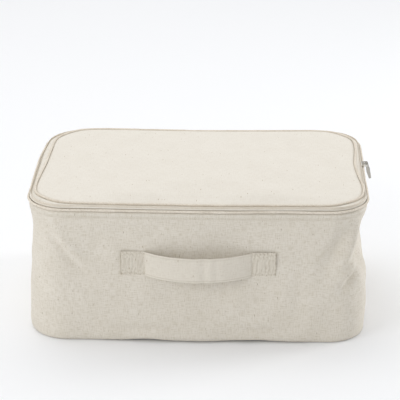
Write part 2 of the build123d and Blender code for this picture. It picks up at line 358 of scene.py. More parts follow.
def woven(name, colour, shade, fleck, slub=1.0, patches=0.5, pitch=WEAVE_PITCH, relief=0.00014, turn=0.0):
    """Cloth, from the flat cloth's own UV map in metres: colour with slubs in shade, rare flecks, faint broad
    patches where the cloth was handled, and painted shade, a dusky line in the creases of its seams."""
    made, tree, shader = material(name)
    flat = add(tree, "UVMap", uv_map="cloth").outputs["UV"]
    flat = add(tree, "Mapping", {"Vector": flat, "Rotation": (0, 0, turn)}).outputs["Vector"]

    def streaks(width, length, detail):
        """Noise drawn out along one thread direction."""
        scaled = add(tree, "Mapping", {"Vector": flat, "Scale": (1 / width, 1 / length, 1)}).outputs["Vector"]
        noise = add(tree, "TexNoise", {"Vector": scaled, "Scale": 1.0, "Detail": detail, "Roughness": 0.6},
                    noise_dimensions="2D")
        return noise.outputs["Fac"]

    weft = streaks(SLUB_LENGTH, SLUB_WIDTH, 3.0)
    warp = streaks(SLUB_WIDTH, SLUB_LENGTH, 3.0)
    slubs = add(tree, "Math", {0: weft, 1: warp}, operation="ADD").outputs[0]
    per_metre = 2 * math.pi / pitch
    threads = add(tree, "Mapping", {"Vector": flat, "Scale": (per_metre, per_metre, 1)}).outputs["Vector"]
    split = add(tree, "SeparateXYZ", {"Vector": threads})
    waves = [add(tree, "Math", {0: split.outputs[axis]}, operation="SINE").outputs[0] for axis in "XY"]
    weave = add(tree, "Math", {0: waves[0], 1: waves[1]}, operation="MULTIPLY").outputs[0]
    depth = add(tree, "MapRange", {"Value": slubs, "From Min": 0.68, "From Max": 1.10, "To Min": slub,
                                   "To Max": 0.0}).outputs["Result"]
    knots = add(tree, "Math", {0: weave, 1: CROSSING_SHADE, 2: 0.0}, operation="MULTIPLY_ADD").outputs[0]
    depth = add(tree, "Math", {0: depth, 1: knots}, operation="ADD", use_clamp=True).outputs[0]
    toned = add(tree, "Mix", {"Factor": depth, 6: linear(colour), 7: linear(shade)},
                data_type="RGBA").outputs[2]
    specks = streaks(FLECK_WIDTH, FLECK_LENGTH, 0.0)
    rare = add(tree, "MapRange", {"Value": specks, "From Min": 0.87, "From Max": 0.93}).outputs["Result"]
    toned = add(tree, "Mix", {"Factor": rare, 6: toned, 7: linear(fleck)},
                data_type="RGBA").outputs[2]
    broad = streaks(PATCH_SIZE, PATCH_SIZE, 2.0)
    handled = add(tree, "MapRange", {"Value": broad, "From Min": 0.35, "From Max": 0.7, "To Max": patches})
    toned = add(tree, "Mix", {"Factor": handled.outputs["Result"], 6: toned, 7: linear(shade)},
                data_type="RGBA").outputs[2]
    # painted shade: the seam attribute mixes the seam shade colour into creases, hems and cut edges
    crease = add(tree, "Attribute", attribute_name="seam").outputs["Fac"]
    toned = add(tree, "Mix", {"Factor": crease, 6: toned, 7: linear(SEAM_SHADE_COLOUR)},
                data_type="RGBA").outputs[2]
    tree.links.new(toned, shader.inputs["Base Color"])
    height = add(tree, "Math", {0: weave, 1: WEAVE_DEEP, 2: slubs}, operation="MULTIPLY_ADD").outputs[0]
    bump = add(tree, "Bump", {"Height": height, "Distance": relief, "Strength": 0.8})
    tree.links.new(bump.outputs["Normal"], shader.inputs["Normal"])
    shader.inputs["Roughness"].default_value = 0.92
    shader.inputs["Specular IOR Level"].default_value = 0.25
    shader.inputs["Sheen Weight"].default_value = 0.12
    shader.inputs["Sheen Roughness"].default_value = 0.5
    return made


canvas = woven("linen_cotton_canvas", "e1dbd0", "cec6b6", "a89b86", patches=0.2)

FABRIC = 0.0016
WALL_OUT = -0.00055
WALL_TOP = RIM_Z - PIPING_RADIUS
BASE_ROUND = 0.012
FOOT_POWER = 0.25  # 1 would turn the wall under in a round, less makes the soft foot squarer
BACK_SEAM_X = 0.225  # the back is straight there, so this is also the distance round the rim
FACING_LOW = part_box("rim_facing")[0].z
SEAM_OUT = WALL_OUT - BASE_ROUND

RIGHT_CORNER = RIGHT_MIDDLE - SHORT / 2 - ARC / 2
LEFT_CORNER = LEFT_MIDDLE + SHORT / 2 + ARC / 2
# each dent, or ridge where it is above 0: distance round the rim, height, half length, half width, lean in
# degrees, depth
DENTS = [
    (RIGHT_MIDDLE - 0.030, 0.168, 0.046, 0.170, 0, -0.0120),
    (RIGHT_CORNER + 0.046, 0.164, 0.042, 0.040, 24, -0.0180),
    (RIGHT_CORNER - 0.011, 0.178, 0.050, 0.014, 30, 0.0125),
    (RIGHT_CORNER - 0.040, 0.180, 0.055, 0.018, 30, -0.0085),
    (RIGHT_CORNER - 0.015, 0.134, 0.025, 0.009, 52, 0.0095),
    (RIGHT_CORNER - 0.006, 0.116, 0.032, 0.011, 52, -0.0095),
    (RIGHT_CORNER - 0.050, 0.060, 0.040, 0.028, 20, -0.0060),
    (RIGHT_CORNER + 0.075, 0.120, 0.060, 0.020, -20, 0.0040),
    (LEFT_CORNER - 0.010, 0.190, 0.080, 0.026, 14, -0.0035),
    (LEFT_CORNER + 0.046, 0.172, 0.050, 0.008, -42, -0.0055),
    (LEFT_CORNER + 0.060, 0.180, 0.046, 0.010, -42, 0.0030),
    (LEFT_CORNER + 0.026, 0.120, 0.050, 0.012, -30, 0.0020),
    (FRONT_MIDDLE, 0.212, 0.200, 0.014, 90, -0.0014),
    (FRONT_MIDDLE - 0.090, 0.026, 0.075, 0.009, 90, -0.0048),
    (FRONT_MIDDLE + 0.105, 0.024, 0.060, 0.009, 90, -0.0036),
    (FRONT_MIDDLE + 0.180, 0.100, 0.080, 0.020, 8, -0.0020),
    (LEFT_MIDDLE + 0.020, 0.150, 0.070, 0.020, 24, -0.0065),
    (LEFT_MIDDLE - 0.050, 0.120, 0.060, 0.018, -18, 0.0045),
    (GIRTH - 0.080, 0.140, 0.080, 0.028, 30, -0.0060),
    (0.110, 0.100, 0.070, 0.022, -24, -0.0045),
]
BELL = 1.4  # how sharply a dent ends
# where the foot stands a little off the floor: distance round the rim, half length, lift
LIFTS = [(FRONT_MIDDLE - 0.085, 0.055, 0.0034), (FRONT_MIDDLE + 0.095, 0.070, 0.0030),
         (RIGHT_MIDDLE, 0.070, 0.0012), (LEFT_MIDDLE + 0.03, 0.060, 0.0013), (0.120, 0.080, 0.0014)]


def foot_lift(s):
    """How far the box's edge stands off the floor: a hump over each stretch that does."""
    return sum(lift * hump((np.mod(s, GIRTH) - at) / long) for at, long, lift in LIFTS)


RIM_HOLD, FOOT_HOLD = 0.035, 0.006  # the rim and the foot keep this much of the wall in its plain place
WAIST, WAIST_AT, WAIST_HIGH = 0.0044, 0.196, 0.090  # how deep, at what height, and half its height
BELLY, BELLY_AT, BELLY_HIGH = 0.0030, 0.050, 0.080
BULGE, BULGE_AT, BULGE_HIGH = 0.0085, 0.008, 0.06  # the front's foot, pushed out by what the box holds
BULGE_LONG = 0.34


def slack(s, z):
    """How far the wall stands out of its plain place: a hump inwards for the waist under the rim, humps
    outwards for the belly and for the bulge of the front's foot, even waves all over, and the dents, each a
    leaning bell in s and z. All of it dies out at the rim and the foot."""
    s = np.mod(s, GIRTH)
    held = smooth((WALL_TOP - z) / RIM_HOLD) * smooth(z / FOOT_HOLD)
    out = -WAIST * hump((z - WAIST_AT) / WAIST_HIGH) + BELLY * hump((z - BELLY_AT) / BELLY_HIGH)
    out = out + 0.0010 * round_ripple(s, z, 0.11, 5) + 0.0005 * round_ripple(s, z, 0.045, 6)
    out = out + BULGE * hump((s - FRONT_MIDDLE) / BULGE_LONG) * hump((z - BULGE_AT) / BULGE_HIGH)
    for at, height, long, wide, lean, depth in DENTS:
        c, d = math.cos(math.radians(lean)), math.sin(math.radians(lean))
        along = ((z - height) * c + (s - at) * d) / long
        across = ((s - at) * c - (z - height) * d) / wide
        out = out + depth * np.exp(-along ** 2 * BELL - across ** 2 * BELL)
    return out * held


RIM_TUCK, TUCK_HIGH = 0.0011, 0.0030  # the rim's seam pulls the wall in by this much, over this height
STITCH_NIP, NIP_HIGH = 0.0005, 0.0016  # and so do the facing's stitches
LIFT_FADES = 0.03  # a lift of the foot is gone this high up the wall


def wall(name, start, end, columns, rows=64):
    """The wall's closed profile, up its outer face from the base seam and down its inner face, carried from
    one back seam to the other. Both faces stand out by the slack; the facing's stitches nip the outer one."""
    stations = np.linspace(start, end, columns)
    turn = np.linspace(0, math.pi / 2, 17)
    outward, upward = np.sin(turn) ** FOOT_POWER, 1 - np.cos(turn) ** FOOT_POWER
    rise = np.linspace(BASE_ROUND, WALL_TOP, rows)[1:]
    inner_round = BASE_ROUND - FABRIC
    offsets = np.concatenate([SEAM_OUT + BASE_ROUND * outward, np.full(rows - 1, WALL_OUT)])
    heights = np.concatenate([BASE_ROUND * upward, rise])
    inner_offsets = np.concatenate([SEAM_OUT + inner_round * outward, np.full(rows - 1, WALL_OUT - FABRIC)])
    inner_heights = np.concatenate([FABRIC + inner_round * upward, rise])
    s, z = stations[:, None], heights[None, :]
    stand = slack(s, z)
    nip = -STITCH_NIP * np.exp(-((z - FACING_LOW) / NIP_HIGH) ** 2)
    tuck = -RIM_TUCK * np.exp(-((z - WALL_TOP) / TUCK_HIGH) ** 2)
    outer = offsets + stand + nip + tuck
    inner = inner_offsets + slack(s, inner_heights[None, :])
    profile = np.concatenate([outer, inner[:, ::-1]], 1)
    # painted shade: a dark line just under the rim's piping and a fainter one along the facing's stitches
    crease = 0.4 * np.exp(-((WALL_TOP - heights) / 0.0018) ** 2)
    crease = crease + 0.2 * np.exp(-((heights - FACING_LOW) / 0.0012) ** 2)
    crease = np.concatenate([crease, 0 * inner_heights])
    heights = np.concatenate([heights, inner_heights[::-1]])[None, :]
    lifted = heights + foot_lift(s) * (1 - smooth(heights / LIFT_FADES))
    return carry(name, stations, profile, lifted, crease)


wrap = wall("wall_wrap_cloth", BACK_SEAM_X, GIRTH - BACK_SEAM_X, 430)
dress(wrap, canvas, "box", "canvas", "wall_wrap")
back = wall("wall_back_cloth", GIRTH - BACK_SEAM_X, GIRTH + BACK_SEAM_X, 130)
dress(back, canvas, "box", "canvas", "wall_back")

# ---------------------------------------------------------------------------------------------------
# Base: a canvas panel sewn to the foot of the walls, a bound seam allowance that stands up inside, and a
# plastic board under a lining. The board keeps its shape, so the CAD's solid stays.
# ---------------------------------------------------------------------------------------------------
def spread(name, offset, height, rings, columns=360, cloth_turn=1):
    """A sheet that fills the outline: copies of the outline at an offset, scaled towards the middle by evenly
    smaller shares. height gives z from x, y, s and the share. cloth_turn is -1 to face it downwards."""
    s = np.linspace(0, GIRTH, columns)[:, None]
    share = (1 - np.linspace(0, 1, rings) ** 1.6)[None, :]
    x, y = outline(s, offset)
    x, y = x * share, y * share
    points = np.stack([x, y, height(x, y, s + 0 * share, share + 0 * s)], -1)
    cloth = np.stack([x, y], -1)
    if cloth_turn < 0:
        points, cloth = points[::-1], cloth[::-1]
    return surface(name, settle(points), cloth)


def thicken(piece, thickness):
    """Gives a sheet its thickness, on the side that its faces point away from."""
    solidify = piece.modifiers.new("thickness", "SOLIDIFY")
    solidify.thickness = thickness
    solidify.offset = -1.0
    solidify.use_even_offset = True
    return piece


# the same canvas, a little darker and more rubbed where it has slid over floors
base_canvas = woven("linen_cotton_canvas_base", "ddd5c7", "c9bfae", "a5947c")
BASE_CLEAR = 0.0001  # the panel hangs this far off the floor
EDGE_LIFTED = 0.004  # and its lifted edge is this wide


def base_height(x, y, s, share):
    """The base's underside: flat on the floor, with its edge lifted as the foot is."""
    return BASE_CLEAR + foot_lift(s) * smooth(1 - (1 - share) * HALF_Y / EDGE_LIFTED)


base_panel = spread("base_panel_cloth", SEAM_OUT, base_height, 24, cloth_turn=-1)
thicken(base_panel, FABRIC - BASE_CLEAR)
dress(base_panel, base_canvas, "box", "base_canvas", "base_panel")


# bleached cotton: paler, smoother and finer than the canvas, drawn 1.2 mm apart for a real 0.5 mm
lining_cloth = woven("cotton_lining", "e6e1d6", "d8d2c5", "c8c0b0", slub=0.6, pitch=0.0012, relief=0.00012)
lining_low, lining_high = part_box("base_lining")
lining_out = lining_high.x - HALF_X


def lining_height(x, y, s, share):
    """The lining's upper face: flat on the board, with faint even waves that die out at its edge."""
    return lining_high.z + 0.0005 * (1 + ripple(x, y, 0.12, 31)) * smooth((1 - share) / 0.15)


base_lining = spread("base_lining_cloth", lining_out, lining_height, 40)
thicken(base_lining, lining_high.z - lining_low.z)
dress(base_lining, lining_cloth, "box", "lining", "base_lining")

# extruded polypropylene sheet: pale grey with a low, waxy gloss and a fine roller grain
BOARD_GRAIN = 1 / 900  # metres
board_plastic, board_tree, board_shader = material("polypropylene_board")
board_place = add(board_tree, "TexCoord").outputs["Object"]
board_grain = add(board_tree, "TexNoise", {"Vector": board_place, "Scale": 1 / BOARD_GRAIN, "Detail": 2.0})
board_bump = add(board_tree, "Bump", {"Height": board_grain.outputs["Fac"], "Distance": 0.00005})
board_tree.links.new(board_bump.outputs["Normal"], board_shader.inputs["Normal"])
board_shader.inputs["Base Color"].default_value = linear("d9d9d4")
board_shader.inputs["Roughness"].default_value = 0.45
frame["nodes"]["base_board"].data.materials.clear()
frame["nodes"]["base_board"].data.materials.append(board_plastic)

# cotton tape: the palest and most even of the cloths, drawn 1.1 mm apart for a real 0.5 mm
tape_cloth = woven("cotton_seam_tape", "e9e4d8", "dcd5c7", "cfc6b5", slub=0.4, pitch=0.0011, relief=0.00012)
ALL_ROUND = np.linspace(0, GIRTH, 520)


def frame_body(node):
    """The body that a CAD node rides on."""
    return next(body for body, nodes in frame["record"]["behaviour"]["bodies"].items() if node in nodes)


def no_wander(s):
    """The plain line of a ring that keeps to the outline."""
    return 0 * s, 0 * s


def strip(inner, outer, low, high, rows):
    """A flat strip's closed profile with half-round edges: up the outer side, over the top, down the inner
    side and round below."""
    edge = (outer - inner) / 2
    middle = (inner + outer) / 2
    up = np.linspace(low + edge, high - edge, rows)
    turn = np.linspace(0, math.pi, 7)[1:-1]
    offsets = np.concatenate([np.full(rows, outer), middle + edge * np.cos(turn), np.full(rows, inner),
                              middle - edge * np.cos(turn)])
    heights = np.concatenate([up, high - edge + edge * np.sin(turn), up[::-1],
                              low + edge - edge * np.sin(turn)])
    return offsets, heights


def bound_edge(node, thickness, wander=no_wander):
    """A seam allowance folded into tape: a soft upright strip, its outer side on the CAD's offset and its
    inner side swaying a little, that follows the even wander of the ring it is sewn to."""
    low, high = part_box(node)
    outer = high.x - HALF_X
    offsets, heights = strip(outer - thickness, outer, low.z, high.z, 6)
    inwards, upwards = wander(ALL_ROUND)
    sway = np.minimum(0.0004 * round_ripple(ALL_ROUND, 0, 0.05, len(node)), 0) + inwards
    piece = carry(f"{node}_tape", ALL_ROUND, offsets + sway[:, None], heights + upwards[:, None])
    return dress(piece, tape_cloth, frame_body(node), "binding", node)


def squared(wave, power):
    """A sine or cosine made squarer: its size to a power below 1, with its own sign."""
    return np.sign(wave) * np.abs(wave) ** power


bound_edge("base_seam_binding", 0.0024)
# the two back seams' bindings: a squared oval section carried up inside the wall, closed at both ends
for side, at in (("left", BACK_SEAM_X), ("right", GIRTH - BACK_SEAM_X)):
    node = f"back_seam_binding_{side}"
    low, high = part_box(node)
    up = np.linspace(low.z, high.z, 60)[:, None]
    turn = np.linspace(0, 2 * math.pi, 25)[None, :]
    sway = 0.0006 * ripple(up, 0 * up, 0.06, 3)
    x = (low.x + high.x) / 2 + (high.x - low.x) / 2 * squared(np.cos(turn), 0.35) + sway
    y = (low.y + high.y) / 2 + (high.y - low.y) / 2 * squared(np.sin(turn), 0.35)
    y = y + slack(np.full_like(up, at), up)
    points = settle(np.stack(np.broadcast_arrays(x, y, up), -1))
    ends = points[[0, -1]].mean(1, keepdims=True).repeat(points.shape[1], 1)
    points = np.concatenate([ends[:1], points, ends[1:]])[::-1]
    cloth = np.stack(np.broadcast_arrays(turn * 0.0016, points[..., 2]), -1)
    dress(surface(f"{node}_tape", points, cloth), tape_cloth, "box", "binding", node)

# ---------------------------------------------------------------------------------------------------
# Rim: a sleeve of bias-cut canvas folded round the wire and sewn on top of the wall, with a facing behind
# it. The sleeve is a little fat and thin where the bias cloth has been pulled.
# ---------------------------------------------------------------------------------------------------
# the canvas cut at 45 degrees: its threads cross the piping slantwise
bias_canvas = woven("bias_cut_canvas_piping", "e7dfd2", "d2c8b8", "b3a48e", turn=math.radians(45))


def sleeve(node, offset, radius, wander, body):
    """A piping: a round sleeve whose centre wanders by a given even wave, with small swellings. Painted shade
    lies on its underside, in the crease where it is sewn down."""
    low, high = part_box(node)
    s = np.linspace(0, GIRTH, 760)
    turn = np.linspace(-math.pi / 2, 1.5 * math.pi, 16, endpoint=False)
    swell = radius * (1 + 0.05 * round_ripple(s, 0, 0.03, len(node)))[:, None]
    inwards, upwards = wander(s)
    offsets = offset + inwards[:, None] + swell * np.cos(turn)
    heights = (low.z + high.z) / 2 + upwards[:, None] + swell * np.sin(turn)
    # painted shade on the sleeve's underside
    crease = 0.2 * smooth((-np.sin(turn) - 0.5) / 0.5)
    return dress(carry(f"{node}_sleeve", s, offsets, heights, crease), bias_canvas, body, "piping", node)


sleeve("rim_piping", 0.0, PIPING_RADIUS, rim_wander, "box")
facing_low, facing_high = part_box("rim_facing")
FACING_IN = -0.0040
FACING_CLEAR = 0.0002
FACING_OUT = WALL_OUT - FABRIC - FACING_CLEAR
offsets, heights = strip(FACING_IN, FACING_OUT, facing_low.z, facing_high.z, 14)
facing = carry("rim_facing_cloth", ALL_ROUND, offsets + slack(ALL_ROUND[:, None], heights[None, :]), heights)
dress(facing, lining_cloth, "box", "lining", "rim_facing")

# ---------------------------------------------------------------------------------------------------
# Thread: the row of lock stitches that holds the facing, sewn through the wall under the rim. Only the
# short lengths that lie on the outer face are made, each a little spindle of twisted thread.
# ---------------------------------------------------------------------------------------------------
# spun polyester: a touch lighter than the canvas, with the soft shine of its twist
THREAD_TWIST = 1 / 900  # metres
sewing_thread, thread_tree, thread_shader = material("spun_polyester_thread")
thread_place = add(thread_tree, "TexCoord").outputs["Object"]
twist = add(thread_tree, "TexWave", {"Vector": thread_place, "Scale": 1 / THREAD_TWIST})
thread_bump = add(thread_tree, "Bump", {"Height": twist.outputs["Fac"], "Distance": 0.00005})
thread_tree.links.new(thread_bump.outputs["Normal"], thread_shader.inputs["Normal"])
thread_shader.inputs["Base Color"].default_value = linear("e8e1d3")
thread_shader.inputs["Roughness"].default_value = 0.7
STITCH_LENGTH, STITCH_GAP = 0.0026, 0.0012
THREAD_RADIUS = 0.00032
THREAD_SUNK = 0.0003  # how deep a stitch lies in the cloth


def stitches(name, places, along, outwards):
    """Many stitches as one mesh: each is a six-sided spindle from its place minus half a stitch to plus half,
    thickest in its middle, along its own direction, with its axis just above the cloth."""
    u = np.linspace(-1, 1, 5)
    radius = THREAD_RADIUS * np.sqrt(1 - 0.92 * u ** 2)
    turn = np.linspace(0, 2 * math.pi, 6, endpoint=False)
    aside = np.cross(outwards, along)
    reach = places[:, None, None] + (along[:, None] * u[None, :, None] * STITCH_LENGTH / 2)[:, :, None]
    ring_out = outwards[:, None, None] * (radius[:, None] * np.sin(turn))[None, ..., None]
    ring_aside = aside[:, None, None] * (radius[:, None] * np.cos(turn))[None, ..., None]
    points = reach + ring_out + ring_aside
    count, rings, sides = len(places), len(u), len(turn)
    index = np.arange(count * rings * sides).reshape(count, rings, sides)
    following = np.roll(index, -1, 2)
    quads = np.stack([index[:, :-1], following[:, :-1], following[:, 1:], index[:, 1:]], -1).reshape(-1, 4)
    caps = [index[:, 0, ::-1].reshape(-1, sides), index[:, -1].reshape(-1, sides)]
    faces = quads.tolist() + caps[0].tolist() + caps[1].tolist()
    mesh = bpy.data.meshes.new(name)
    mesh.from_pydata(points.reshape(-1, 3).tolist(), [], faces)
    mesh.shade_smooth()
    piece = bpy.data.objects.new(name, mesh)
    bpy.context.scene.collection.objects.link(piece)
    return piece


def stitch_row(name, height, offset, start, end):
    """A row of stitches at one height, evenly spaced round the outline at the offset that a function of s and
    z gives, each along the line from just before its place to just after it."""
    count = int((end - start) / (STITCH_LENGTH + STITCH_GAP))
    s = np.linspace(start, end, count, endpoint=False)
    z = np.full(count, height)

    def place(at):
        x, y = outline(at, offset(at, z))
        return settle(np.stack([x, y, z], -1))

    step = 0.0005
    along = place(s + step) - place(s - step)
    along /= np.linalg.norm(along, axis=1, keepdims=True)
    outwards = np.cross(along, np.array([0.0, 0.0, 1.0]))
    return stitches(name, place(s), along, outwards)


def sewn_face(s, z):
    """The wall's outer face, less how deep the stitches lie in it."""
    return WALL_OUT + slack(s, z) - THREAD_SUNK


FACING_SEAM = FACING_LOW + 0.0005
facing_stitches = stitch_row("facing_stitches", FACING_SEAM, sewn_face, STITCH_LENGTH, GIRTH - STITCH_LENGTH)
dress(facing_stitches, sewing_thread, "box", "canvas")

# ---------------------------------------------------------------------------------------------------
# Zip: two woven polyester tapes, sewn to the rim and to the lid's band, each with a coil of nylon sewn on
# its hidden side. The coils are in mesh on the zip's line, from one back corner round the front to the other.
# ---------------------------------------------------------------------------------------------------
# filament polyester: smoother and closer than the canvas, drawn 0.9 mm apart for a real 0.3 mm
zip_tape_cloth = woven("woven_polyester_zip_tape", "e3dbcd", "d3cabb", "c2b7a5", slub=0.3, pitch=0.0009,
                       relief=0.0001)
ZIP_Z = 0.252
ZIP_END_X = 0.252  # the zip's two ends on the back corners
TAPE_OUT, TAPE_IN = -0.0040, -0.0046
zip_end = math.asin((ZIP_END_X - LONG / 2) / (CORNER + TAPE_OUT)) * CORNER + LONG / 2
ZIP_ROUND = np.linspace(zip_end, GIRTH - zip_end, 480)
for side in ("body", "lid"):
    low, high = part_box(f"zip_tape_{side}")
    tape = carry(f"zip_tape_{side}_woven", ZIP_ROUND, *strip(TAPE_IN, TAPE_OUT, low.z, high.z, 7))
    dress(tape, zip_tape_cloth, "box" if side == "body" else "lid", "zip_tape", f"zip_tape_{side}")

# drawn nylon: dyed to match, a little glossier than the tape, its tone uneven along the coil
NYLON_PATCH = 1 / 400  # metres
nylon, nylon_tree, nylon_shader = material("nylon_coil")
nylon_place = add(nylon_tree, "TexCoord").outputs["Object"]
nylon_noise = add(nylon_tree, "TexNoise", {"Vector": nylon_place, "Scale": 1 / NYLON_PATCH})
nylon_tone = add(nylon_tree, "Mix", {"Factor": nylon_noise.outputs["Fac"], 6: linear("ddd5c6"),
                                     7: linear("cfc6b6")}, data_type="RGBA")
nylon_tree.links.new(nylon_tone.outputs[2], nylon_shader.inputs["Base Color"])
nylon_shader.inputs["Roughness"].default_value = 0.4
COIL_PITCH, COIL_WIRE = 0.0015, 0.00028
COIL_MIDDLE = -0.0053
COIL_HALF_DEEP, COIL_HALF_HIGH = 0.00055, 0.0010
COIL_FROM_LINE = 0.00085  # each coil's middle from the zip's line, less than half its height, so they mesh


def coil(name, height, lag, body):
    """A zip coil: a thread of nylon wound once a pitch round a flat oval, carried along the zip. Its section
    is a five-sided ring square to the thread's own direction."""
    length = ZIP_ROUND[-1] - ZIP_ROUND[0]
    turns = length / COIL_PITCH
    t = np.linspace(0, turns, int(turns * 8)) * 2 * math.pi
    s = ZIP_ROUND[0] + t / (2 * math.pi) * COIL_PITCH + lag
    x, y = outline(s, COIL_MIDDLE + COIL_HALF_DEEP * np.cos(t))
    line = settle(np.stack([x, y, height + COIL_HALF_HIGH * np.sin(t)], -1))
    forward = np.gradient(line, axis=0)
    forward /= np.linalg.norm(forward, axis=1, keepdims=True)
    ahead_x, ahead_y = outline(s + 0.001, COIL_MIDDLE)
    base_x, base_y = outline(s, COIL_MIDDLE)
    track = np.stack([ahead_x - base_x, ahead_y - base_y, 0 * s], -1)
    first = np.cross(forward, track)
    first /= np.linalg.norm(first, axis=1, keepdims=True)
    second = np.cross(forward, first)
    turn = np.linspace(0, 2 * math.pi, 6)[None, :, None]
    points = line[:, None] + COIL_WIRE * (np.cos(turn) * first[:, None] + np.sin(turn) * second[:, None])
    ends = points[[0, -1]].mean(1, keepdims=True).repeat(points.shape[1], 1)
    points = np.concatenate([ends[:1], points, ends[1:]])
    cloth = np.zeros(points.shape[:2] + (2,))
    return dress(surface(f"{name}_wound", points, cloth), nylon, body, "zip_coil", name)


coil("zip_coil_body", ZIP_Z - COIL_FROM_LINE, 0.0, "box")
coil("zip_coil_lid", ZIP_Z + COIL_FROM_LINE, COIL_PITCH / 2, "lid")

# ---------------------------------------------------------------------------------------------------
# Lid: the band above the zip, the piping, the top panel with its bound seam, and the cloth hinge strip that
# takes the band's place along the back. All of it is canvas: the panel rises in a soft crest behind the
# front edge, and the piping leans in and out round the corners.
# ---------------------------------------------------------------------------------------------------
lid_low, lid_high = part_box("lid_piping")
LID_INSET = HALF_X - (lid_high.x - PIPING_RADIUS)
LID_PIPING_Z = (lid_low.z + lid_high.z) / 2
HALF_SIDE = SHORT / 2 + ARC / 2
# where the lid's seam leans in (below 0) or out: distance round the rim, half length, depth
LEANS = [
    (LEFT_MIDDLE - 0.050, 0.160, -0.0085),
    (LEFT_MIDDLE - HALF_SIDE, 0.085, -0.0095),
    (LEFT_MIDDLE + HALF_SIDE + 0.005, 0.085, -0.0090),
    (RIGHT_MIDDLE + 0.015, 0.085, -0.0050),
    (RIGHT_MIDDLE - 0.100, 0.055, 0.0042),
    (RIGHT_MIDDLE + HALF_SIDE, 0.080, -0.0075),
    (RIGHT_MIDDLE - HALF_SIDE - 0.012, 0.065, -0.0065),
]
LID_SINK = 0.0022  # the lid's front stands this much lower than its hinge


def lid_sink(y):
    """How far the lid has settled into the rim: nothing near the hinge, all of it along the front."""
    return -LID_SINK * smooth((0.15 - y) / 0.3)


def lid_wander(s):
    """How far the lid's piping stands in or out, and up or down, of its plain line: a sum of humps where the
    seam leans in or out, faint waves, and the sink along the front."""
    inwards = 0.0004 * round_ripple(s, 0, 0.14, 12)
    for at, long, depth in LEANS:
        away = np.mod(s - at + GIRTH / 2, GIRTH) - GIRTH / 2
        inwards = inwards + depth * hump(away / long)
    return inwards, 0.0005 * round_ripple(s, 0, 0.17, 13) + lid_sink(outline(s, -LID_INSET)[1])


sleeve("lid_piping", -LID_INSET, PIPING_RADIUS, lid_wander, "lid")
# extruded plastic cord: plain, off-white and slightly rippled, hidden in its sleeve
CORD_RIPPLE = 1 / 300  # metres
cord_plastic, cord_tree, cord_shader = material("extruded_piping_cord")
cord_place = add(cord_tree, "TexCoord").outputs["Object"]
cord_noise = add(cord_tree, "TexNoise", {"Vector": cord_place, "Scale": 1 / CORD_RIPPLE})
cord_bump = add(cord_tree, "Bump", {"Height": cord_noise.outputs["Fac"], "Distance": 0.0001})
cord_tree.links.new(cord_bump.outputs["Normal"], cord_shader.inputs["Normal"])
cord_shader.inputs["Base Color"].default_value = linear("e4e2da")
core("lid_piping_core", "lid_piping_cord", -LID_INSET, lid_wander, cord_plastic, "lid", "cord")

# the canvas of the lid and its band: a paler and more even copy of the walls' canvas, so it is less speckled
panel_canvas = woven("linen_cotton_canvas_lid", "e7e2d8", "dcd5c9", "b3a48e", slub=0.7, patches=0.2,
                     relief=0.00008)
BAND_LOW = 0.2514
BAND_OUT = -0.0023
BAND_THICKNESS = 0.0009
BAND_LEAN = 1.3  # 1 would slope the band evenly, more makes it steeper at the bottom
BAND_BELLY = 0.16  # its belly, as a share of its height


def seam_of_piping(s):
    """Where the band's cloth meets the lid's piping, low on its outer side."""
    inwards, upwards = lid_wander(s)
    return -LID_INSET + PIPING_RADIUS * 0.60 + inwards, LID_PIPING_Z - PIPING_RADIUS * 0.75 + upwards


def band_profile(s, bottom):
    """The band's closed profile: its outer face slopes up from its folded lower edge to the piping with a
    slight belly, steepest at the bottom; its inner face is a cloth's thickness inside it."""
    top_offset, top_height = [value[:, None] for value in seam_of_piping(s)]
    t = np.linspace(0, 1, 16)[None, :]
    lean = t ** BAND_LEAN
    rise = t + BAND_BELLY * np.sin(math.pi * t)
    offsets = BAND_OUT + (top_offset - BAND_OUT) * lean
    heights = bottom + (top_height - bottom) * rise
    fold = smooth(t / 0.1) * BAND_THICKNESS
    inner_offsets = offsets - fold * (1 - t)
    inner_heights = heights - fold * t
    # painted shade: a faint line at the top, under the piping, and a darker one at the folded lower edge, in
    # the zip's gap
    crease = 0.2 * np.exp(-((1 - t) / 0.08) ** 2) + 0.4 * np.exp(-(t / 0.07) ** 2)
    return (np.concatenate([offsets, inner_offsets[:, ::-1]], 1),
            np.concatenate([heights, inner_heights[:, ::-1]], 1),
            np.concatenate([crease, crease[:, ::-1]], 1))


lid_band = carry("lid_band_cloth", ZIP_ROUND, *band_profile(ZIP_ROUND, BAND_LOW))
dress(lid_band, panel_canvas, "lid", "canvas", "lid_band")
bound_edge("lid_seam_binding", 0.0023, lid_wander)

hinge_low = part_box("hinge_strip")[0]
HINGE_ROUND = np.linspace(GIRTH - zip_end, GIRTH + zip_end, 200)
UPRIGHT = 0.62  # the share of the hinge strip that stands straight up
HINGE_BEND = ZIP_Z + 0.0005


def hinge_profile(s):
    """The hinge strip's closed profile: straight up from behind the facing, then over to the lid's piping as
    the band goes; the inner face is a cloth's thickness behind."""
    top_offset, top_height = [value[:, None] for value in seam_of_piping(s)]
    t = np.linspace(0, 1, 30)[None, :]
    over = np.clip((t - UPRIGHT) / (1 - UPRIGHT), 0, 1) * math.pi / 2
    heights = np.where(t < UPRIGHT, hinge_low.z + (HINGE_BEND - hinge_low.z) * t / UPRIGHT,
                       HINGE_BEND + (top_height - HINGE_BEND) * np.sin(over))
    offsets = TAPE_OUT + (top_offset - TAPE_OUT) * (1 - np.cos(over))
    inner_offsets = offsets - BAND_THICKNESS * np.cos(over)
    inner_heights = heights - BAND_THICKNESS * np.sin(over)
    return (np.concatenate([offsets, inner_offsets[:, ::-1]], 1),
            np.concatenate([heights, inner_heights[:, ::-1]], 1))


hinge_strip = carry("hinge_strip_cloth", HINGE_ROUND, *hinge_profile(HINGE_ROUND))
hinge_strip.data.materials.append(canvas)
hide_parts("hinge_strip")
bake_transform(hinge_strip)

